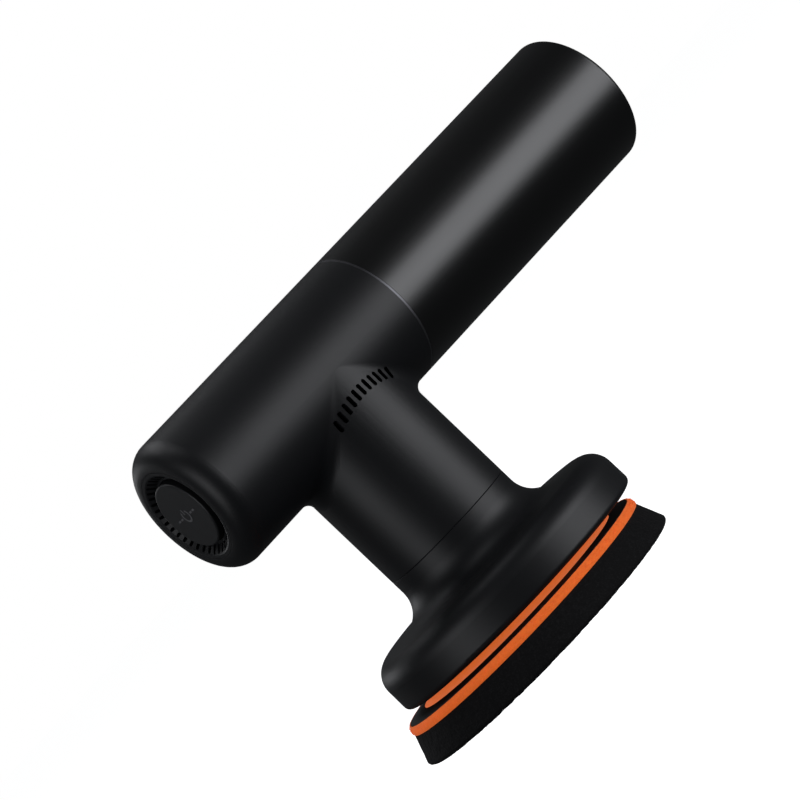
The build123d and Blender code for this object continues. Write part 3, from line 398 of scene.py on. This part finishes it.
# %% Metal, board, wrap and winding finishes
def machined(name, colour, rough, stretch=(12, 12, 1), streak=0.0004):
    """Cut metal. Streaks are drawn out by stretch, and old stains dull it a little."""
    finish = Finish(name, Metallic=1.0)
    streaks = finish.speckle(streak, 3.0, stretch)
    stains = finish.speckle(0.008, 3.0)
    finish.feed(
        Base_Color=finish.shades(stains, (0.3, tint(colour, 0.8)), (0.7, colour)),
        Roughness=rough - 0.06 + 0.16 * streaks + 0.06 * stains,
        Normal=finish.relief(streaks, 0.000008),
    )
    return finish.material


def circuit(name, colour):
    """Solder mask whose traces are the borders between cells."""
    finish = Finish(name, Specular_IOR_Level=0.5)
    maze = finish.cells(1 / 280, "DISTANCE_TO_EDGE")
    weave = finish.speckle(0.0003, 2.0)
    finish.feed(
        Base_Color=finish.shades(maze, (0.03, tint(colour, 2.2)), (0.09, colour), (0.4, tint(colour, 0.8))),
        Roughness=0.3 + 0.12 * weave,
        Normal=finish.relief(1 - maze, 0.00008),
    )
    return finish.material


def wrapped(name, colour):
    """Thin shrunk sleeve with wrinkles along it."""
    finish = Finish(name, Specular_IOR_Level=0.5)
    wrinkles = finish.speckle(0.0022, 3.0, (8, 1, 1))
    drift = finish.speckle(0.02, 2.0)
    finish.feed(
        Base_Color=finish.shades(drift, (0.3, tint(colour, 0.85)), (0.7, tint(colour, 1.1))),
        Roughness=0.28 + 0.12 * wrinkles,
        Normal=finish.relief(wrinkles, 0.00006),
    )
    return finish.material


def wound(name, colour):
    """Copper wire: bright bands, with dark lines between the turns painted in as the shade in the grooves
    between wires.
    """
    finish = Finish(name, Metallic=0.9)
    turns = finish.node(
        "ShaderNodeTexWave",
        {"wave_type": "BANDS", "bands_direction": "Z"},
        {"Vector": finish.place, "Scale": 350.0, "Distortion": 1.5, "Detail": 1.0},
        "Fac",
    )
    drift = finish.speckle(0.003, 2.0)
    finish.feed(
        # Painted shade: the colour darkens in the grooves between turns.
        Base_Color=finish.shades(turns, (0.1, tint(colour, 0.35)), (0.6, colour)),
        Roughness=0.25 + 0.15 * drift,
        Normal=finish.relief(turns, 0.00015),
    )
    return finish.material


def cast_clear(name, colour):
    """Clear plastic with a slight haze."""
    finish = Finish(name, Transmission_Weight=0.85, IOR=1.49)
    haze = finish.speckle(0.0008, 2.0)
    finish.feed(
        Base_Color=finish.shades(haze, (0.3, tint(colour, 0.92)), (0.7, colour)),
        Roughness=0.12 + 0.15 * haze,
        Normal=finish.relief(haze, 0.00001),
    )
    return finish.material


print("metals and electrics ready")

# %% [markdown]
# ## One finish for each slot
#
# The record names a material slot for every node. This table makes each slot's finish once, and the loop
# below it gives every node its own, outside and inside, so the tool is finished however far it is opened.

# %% Finishes by slot
finishes = {
    "matte_shell": moulded("matte_shell", (0.0046, 0.0050, 0.0062), 0.48, level=0.39),
    "button_face": moulded("button_face", (0.0085, 0.0090, 0.0102), 0.46, depth=0.000006),
    "gloss_grip": lacquered("gloss_grip", (0.0010, 0.0011, 0.0013), 0.35, level=0.6),
    "cap_plastic": moulded("cap_plastic", (0.0070, 0.0072, 0.0080), 0.34),
    "trim": machined("trim", (0.12, 0.12, 0.13), 0.4, (1, 12, 12)),
    "plate_black": moulded("plate_black", (0.0075, 0.0075, 0.0085), 0.5, 0.0004, 0.00003, 0.35),
    # Both orange layers glow with painted light, the cover more strongly since it sits in the bell's shade.
    "cover_orange": felted("cover_orange", (0.80, 0.145, 0.022), 0.00045, 0.8),
    "loop_orange": felted("loop_orange", (0.84, 0.150, 0.022)),
    "hook_black": foamed("hook_black", (0.012, 0.012, 0.013)),
    "foam_black": foamed("foam_black", (0.0095, 0.0095, 0.0102)),
    "inner_plastic": moulded("inner_plastic", (0.05, 0.05, 0.055), 0.45),
    "plunger": moulded("plunger", (0.6, 0.6, 0.58), 0.35),
    "light_guide": cast_clear("light_guide", (0.85, 0.92, 1.0)),
    "board_green": circuit("board_green", (0.012, 0.09, 0.035)),
    "chip_black": moulded("chip_black", (0.02, 0.02, 0.021), 0.45, 0.00015),
    "cell_wrap": wrapped("cell_wrap", (0.04, 0.12, 0.36)),
    "lead_sleeve": wrapped("lead_sleeve", (0.35, 0.02, 0.02)),
    "cast_alloy": machined("cast_alloy", (0.62, 0.63, 0.65), 0.38, (1, 1, 1), 0.0006),
    "steel": machined("steel", (0.50, 0.50, 0.52), 0.3),
    "bearing_steel": machined("bearing_steel", (0.70, 0.70, 0.72), 0.16),
    "screw_steel": machined("screw_steel", (0.12, 0.12, 0.13), 0.34, (1, 1, 1)),
    "copper": wound("copper", (0.72, 0.30, 0.12)),
}


def dress(piece, slot):
    """Gives a piece the finish of one slot, in place of any it had."""
    piece.data.materials.clear()
    piece.data.materials.append(finishes[slot])


for subpart in frame["record"]["subparts"]:
    dress(nodes[subpart["node"]], subpart["material_slot"])

# %% [markdown]
# ## Surfaces from arrays
#
# The soft layers and the printed mark are worked out as arrays. A grid of points, row by row, becomes a
# closed skin: the columns join round, and two poles close the first and last rows with fans. Rows that run
# outwards along the bottom, up the side and back in over the top make faces that point outwards.

# %% Skin from a grid
def new_piece(name, points, faces, body, slot):
    """A smooth mesh object made from points and faces, dressed in a slot's finish and riding on a body."""
    mesh = bpy.data.meshes.new(name)
    mesh.from_pydata(points, [], faces)
    mesh.polygons.foreach_set("use_smooth", np.ones(len(mesh.polygons), bool))
    mesh.update()
    piece = bpy.data.objects.new(name, mesh)
    scene.collection.objects.link(piece)
    dress(piece, slot)
    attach(piece, body)
    print(name, "has", len(mesh.polygons), "faces")
    return piece


def closed_skin(name, grid, low_pole, high_pole, body, slot):
    """Closed surface through grid[row, column]: quads between rows, and a fan from each pole to its row."""
    rows, columns = grid.shape[:2]
    index = np.arange(rows * columns).reshape(rows, columns)
    after = np.roll(index, -1, axis=1)
    quads = np.stack((index[:-1], after[:-1], after[1:], index[1:]), axis=-1).reshape(-1, 4)
    low, high = rows * columns, rows * columns + 1
    low_fan = np.stack((np.full(columns, low), after[0], index[0]), axis=-1)
    high_fan = np.stack((index[-1], after[-1], np.full(columns, high)), axis=-1)
    points = np.vstack((grid.reshape(-1, 3), low_pole, high_pole))
    faces = quads.tolist() + low_fan.tolist() + high_fan.tolist()
    return new_piece(name, points.tolist(), faces, body, slot)


def value_noise(points, size, seed):
    """Random heights from 0 to 1 on a lattice of size metres, blended between its eight nearest corners."""
    cells = 64
    lattice = np.random.default_rng(seed).random((cells, cells, cells))
    scaled = points / size
    corner = np.floor(scaled).astype(int)
    blend = scaled - corner
    blend = blend * blend * (3 - 2 * blend)
    total = np.zeros(points.shape[:-1])
    for step in np.ndindex(2, 2, 2):
        weight = np.prod(np.where(np.array(step) == 1, blend, 1 - blend), axis=-1)
        x, y, z = np.moveaxis((corner + step) % cells, -1, 0)
        total += weight * lattice[x, y, z]
    return total


def along_profile(corners, spacing):
    """Points along straight runs between corners (radius, height), with a spacing for each run."""
    runs = []
    for (r0, z0), (r1, z1), gap in zip(corners[:-1], corners[1:], spacing):
        count = max(2, int(round(math.hypot(r1 - r0, z1 - z0) / gap)))
        part = np.linspace(0, 1, count, endpoint=False)[:, None]
        runs.append(np.array([[r0, z0]]) * (1 - part) + np.array([[r1, z1]]) * part)
    return np.vstack(runs + [np.array([corners[-1]])])


def turned(profile, centre, columns):
    """Every profile point (radius, height) carried round a vertical axis through centre."""
    angle = np.linspace(0, 2 * np.pi, columns, endpoint=False)
    radius, height = profile[:, :1], profile[:, 1:]
    x = centre[0] + radius * np.cos(angle)
    y = centre[1] + radius * np.sin(angle)
    return np.stack((x, y, np.broadcast_to(height, x.shape)), axis=-1)


def away_from(centre, grid):
    """For every point of a grid, the level unit vector out from a vertical axis, and its distance from it."""
    outward = grid[..., :2] - np.array(centre)
    reach = np.linalg.norm(outward, axis=-1, keepdims=True)
    return outward / reach, reach


print("surface words ready")

# %% [markdown]
# ## The foam disc
#
# The foam is cut, not moulded: a truncated cone that widens to the working face, with a softly rounded lower
# edge and open cells on its side and its working face. The profile is turned about the pad's axis. Each point
# is then pressed in where two noises rise above a threshold, which makes the mouths of small and large cells,
# and a slow sway keeps the side from being a perfect cone.

# %% Foam disc
foam_low, foam_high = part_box("foam_pad")
pad_centre = ((foam_low.x + foam_high.x) / 2, (foam_low.y + foam_high.y) / 2)
foam_radius = (foam_high.x - foam_low.x) / 2
foam_top = foam_high.z
loop_low, loop_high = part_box("loop_layer")
band_radius = (loop_high.x - loop_low.x) / 2
foam_edge = 0.0016
foam_columns = 960
pole_ring = 0.002
side_fade = 0.0006
bottom_fade = 0.0012
foam_rows = along_profile(
    [
        (pole_ring, 0.0),
        (foam_radius - foam_edge, 0.0),
        (foam_radius - 0.55 * foam_edge, 0.12 * foam_edge),
        (foam_radius - 0.16 * foam_edge, 0.42 * foam_edge),
        (foam_radius - 0.02 * foam_edge, 0.9 * foam_edge),
        (band_radius + 0.0001, foam_top - 0.0003),
        (band_radius - 0.0004, foam_top),
        (pole_ring, foam_top),
    ],
    [0.0013, 0.0003, 0.0003, 0.0003, 0.00024, 0.0003, 0.006],
)
foam_grid = turned(foam_rows, pad_centre, foam_columns)
small_cell, large_cell, sway_size = 0.0009, 0.0021, 0.013
small_depth, large_depth, sway_depth = 0.0004, 0.0003, 0.0002
mouths = np.clip(value_noise(foam_grid, small_cell, seed=3) - 0.55, 0, 1) * small_depth
mouths += np.clip(value_noise(foam_grid, large_cell, seed=4) - 0.6, 0, 1) * large_depth
sway = (value_noise(foam_grid, sway_size, seed=5) - 0.5) * sway_depth
outward, reach = away_from(pad_centre, foam_grid)
on_side = np.clip((reach - (band_radius - side_fade)) / side_fade, 0, 1)
foam_grid[..., :2] -= outward * on_side * (mouths - sway)[..., None]
on_bottom = np.clip(1 - foam_grid[..., 2] / bottom_fade, 0, 1)
foam_grid[..., 2] += on_bottom * mouths
foam = closed_skin(
    "foam_disc", foam_grid, (*pad_centre, 0.0), (*pad_centre, foam_top), "pad", "foam_black"
)
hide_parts("foam_pad")

# %% [markdown]
# ## The loop layer
#
# Loop fabric is bonded to the foam and turned up round the plate, so its edge shows as a full, slightly fuzzy
# band. It is a dish of one closed skin. Its outer side leans in and bulges between its two edges, and a fine
# noise breaks up the side and the dish's floor, which the noise only lowers, so it stays clear of the hooks.

# %% Loop dish
plate_low, plate_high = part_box("backing_plate")
plate_radius = (plate_high.x - plate_low.x) / 2
band_top = loop_high.z
hook_clearance = 0.00012
dish_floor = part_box("hook_layer")[0].z - hook_clearance
lip = 0.00035
band_lean = 0.0007
band_bulge = 0.00035
band_columns = 1200


def band_side_radius(share):
    """The band's outer radius, where share runs from 0 at its lower edge to 1 at its upper one."""
    return band_radius - band_lean * share + band_bulge * np.sin(np.pi * share)


climb = np.linspace(0, 1, 15)
band_side = np.stack((band_side_radius(climb), foam_top + (band_top - foam_top - lip) * climb), axis=-1)
band_rows = np.vstack(
    (
        along_profile([(pole_ring, foam_top), (band_radius - 0.0006, foam_top)], [0.006]),
        band_side,
        [
            (band_radius - 0.0008, band_top - 0.25 * lip),
            (band_radius - 0.00092, band_top),
            (plate_radius + 0.0003, band_top - 0.1 * lip),
            (plate_radius + 0.00025, band_top - lip),
        ],
        along_profile([(plate_radius + 0.0002, dish_floor), (pole_ring, dish_floor)], [0.0012]),
    )
)
band_grid = turned(band_rows, pad_centre, band_columns)
fuzz_depth = 0.00013
nap_depth = 0.0005
fuzz = value_noise(band_grid, 0.0006, seed=11) - 0.5
fuzz += 0.6 * (value_noise(band_grid, 0.0017, seed=12) - 0.5)
outward, reach = away_from(pad_centre, band_grid)
on_band = np.clip((reach - (band_radius - 0.0011)) / 0.0003, 0, 1)
band_grid[..., :2] += outward * on_band * fuzz_depth * fuzz[..., None]
on_floor = (band_grid[..., 2] > foam_top + 0.0003) * (reach[..., 0] < plate_radius)
nap = np.clip(value_noise(band_grid, 0.0008, seed=13) - 0.3, 0, 1)
band_grid[..., 2] -= on_floor * nap * nap_depth
loop_dish = closed_skin(
    "loop_dish", band_grid, (*pad_centre, foam_top), (*pad_centre, dish_floor), "pad", "loop_orange"
)
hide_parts("loop_layer")

# %% [markdown]
# ## Loose fibres on the band
#
# What makes a fabric edge look like fabric is its outline: single fibres that stand away from it. Each is a
# short three-sided thread bent into a hoop, and all of them are worked out at once. A hoop's middle line is
# half a wave: it starts just inside the band, stands out by its own height and comes back a little way round.

# %% Fibres
fibre_count = 2600
draw = np.random.default_rng(21)
start_angle = draw.random(fibre_count) * 2 * np.pi
longest_span = 0.014
tallest_slant = 0.0007
start_height = foam_top + 0.0003 + draw.random(fibre_count) * (band_top - foam_top - 0.0007)
span_angle = (0.3 + 0.7 * draw.random(fibre_count)) * longest_span * np.sign(draw.random(fibre_count) - 0.5)
span_height = (draw.random(fibre_count) - 0.5) * tallest_slant
stand = 0.00012 + 0.00022 * draw.random(fibre_count)
thread_radius = 0.000028
root_depth = 0.00006
walk = np.linspace(0, 1, 6)[None, :]
share = (start_height[:, None] - foam_top) / (band_top - foam_top)
root = band_side_radius(share) - root_depth
line_radius = root + stand[:, None] * np.sin(np.pi * walk)
line_angle = start_angle[:, None] + span_angle[:, None] * walk
line_height = start_height[:, None] + span_height[:, None] * walk
ring = np.array([[1.0, 0.0], [-0.5, 0.866], [-0.5, -0.866]]) * thread_radius
side_radius = line_radius[..., None] + ring[:, 0]
side_height = line_height[..., None] + ring[:, 1]
threads = np.stack(
    (
        pad_centre[0] + side_radius * np.cos(line_angle)[..., None],
        pad_centre[1] + side_radius * np.sin(line_angle)[..., None],
        side_height,
    ),
    axis=-1,
)
steps, sides = threads.shape[1:3]
index = np.arange(threads[..., 0].size).reshape(fibre_count, steps, sides)
index = np.where((span_angle < 0)[:, None, None], index[..., ::-1], index)
after = np.roll(index, -1, axis=2)
sleeves = np.stack((index[:, :-1], index[:, 1:], after[:, 1:], after[:, :-1]), axis=-1).reshape(-1, 4)
ends = np.vstack((index[:, 0], index[:, -1, ::-1]))
thread_faces = sleeves.tolist() + ends.tolist()
new_piece("loop_fibres", threads.reshape(-1, 3).tolist(), thread_faces, "pad", "loop_orange")

# %% [markdown]
# ## The mark on the power button
#
# The button carries a small printed mark. A plain power sign, a ring open at the top with a bar in the gap,
# says what the button does in any language, with two short dashes each side. Each stroke is a thin closed bar
# of ink with half of its thickness sunk in the button, so it stands a few hundredths of a millimetre proud.

# %% Power mark
print_ink = Finish("print_ink", Specular_IOR_Level=0.3)
ink_grain = print_ink.speckle(0.0002, 2.0)
print_ink.feed(
    Base_Color=print_ink.shades(ink_grain, (0.3, (0.10, 0.10, 0.105)), (0.7, (0.14, 0.14, 0.147))),
    Roughness=0.5 + 0.15 * ink_grain,
    Normal=print_ink.relief(ink_grain, 0.000004),
)
face_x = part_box("power_button")[0].x
ink_lift = 0.00004
stroke_width = 0.0007
sign_radius = 0.0021
dash_length = 0.0016
dash_starts = (-0.0070, -0.0048, 0.0032, 0.0054)


def stroke(middle, width):
    """The four long edges of a bar of ink along middle[n, (y, z)], half of its thickness in the face."""
    run = np.gradient(middle, axis=0)
    run /= np.linalg.norm(run, axis=1, keepdims=True)
    side = np.stack((-run[:, 1], run[:, 0]), axis=-1) * width / 2
    edges = np.stack((middle + side, middle - side, middle - side, middle + side), axis=1)
    depth = np.array([-ink_lift, -ink_lift, ink_lift, ink_lift])
    across = np.broadcast_to(face_x + depth, edges.shape[:2])
    return np.concatenate((across[..., None], edges), axis=-1)


open_angle = np.radians(np.linspace(128, 412, 40))
power_ring = sign_radius * np.stack((np.cos(open_angle), np.sin(open_angle)), axis=-1)
power_bar = np.stack((np.zeros(4), np.linspace(0.0006, 0.0027, 4)), axis=-1)
dashes = [
    np.stack((np.linspace(start, start + dash_length, 4), np.zeros(4)), axis=-1) for start in dash_starts
]
mark_points, mark_faces = [], []
for middle_line in [power_ring, power_bar, *dashes]:
    ribbon = stroke(middle_line + np.array([0.0, barrel_height]), stroke_width)
    first = sum(len(part) for part in mark_points)
    index = first + np.arange(ribbon.shape[0] * 4).reshape(-1, 4)
    after = np.roll(index, -1, axis=1)
    mark_faces += np.stack((index[:-1], index[1:], after[1:], after[:-1]), axis=-1).reshape(-1, 4).tolist()
    mark_faces += [index[0].tolist(), index[-1, ::-1].tolist()]
    mark_points.append(ribbon.reshape(-1, 3))
mark = new_piece("power_mark", np.vstack(mark_points).tolist(), mark_faces, "button", "button_face")
mark.data.materials[0] = print_ink.material
mark.data.polygons.foreach_set("use_smooth", np.zeros(len(mark.data.polygons), bool))
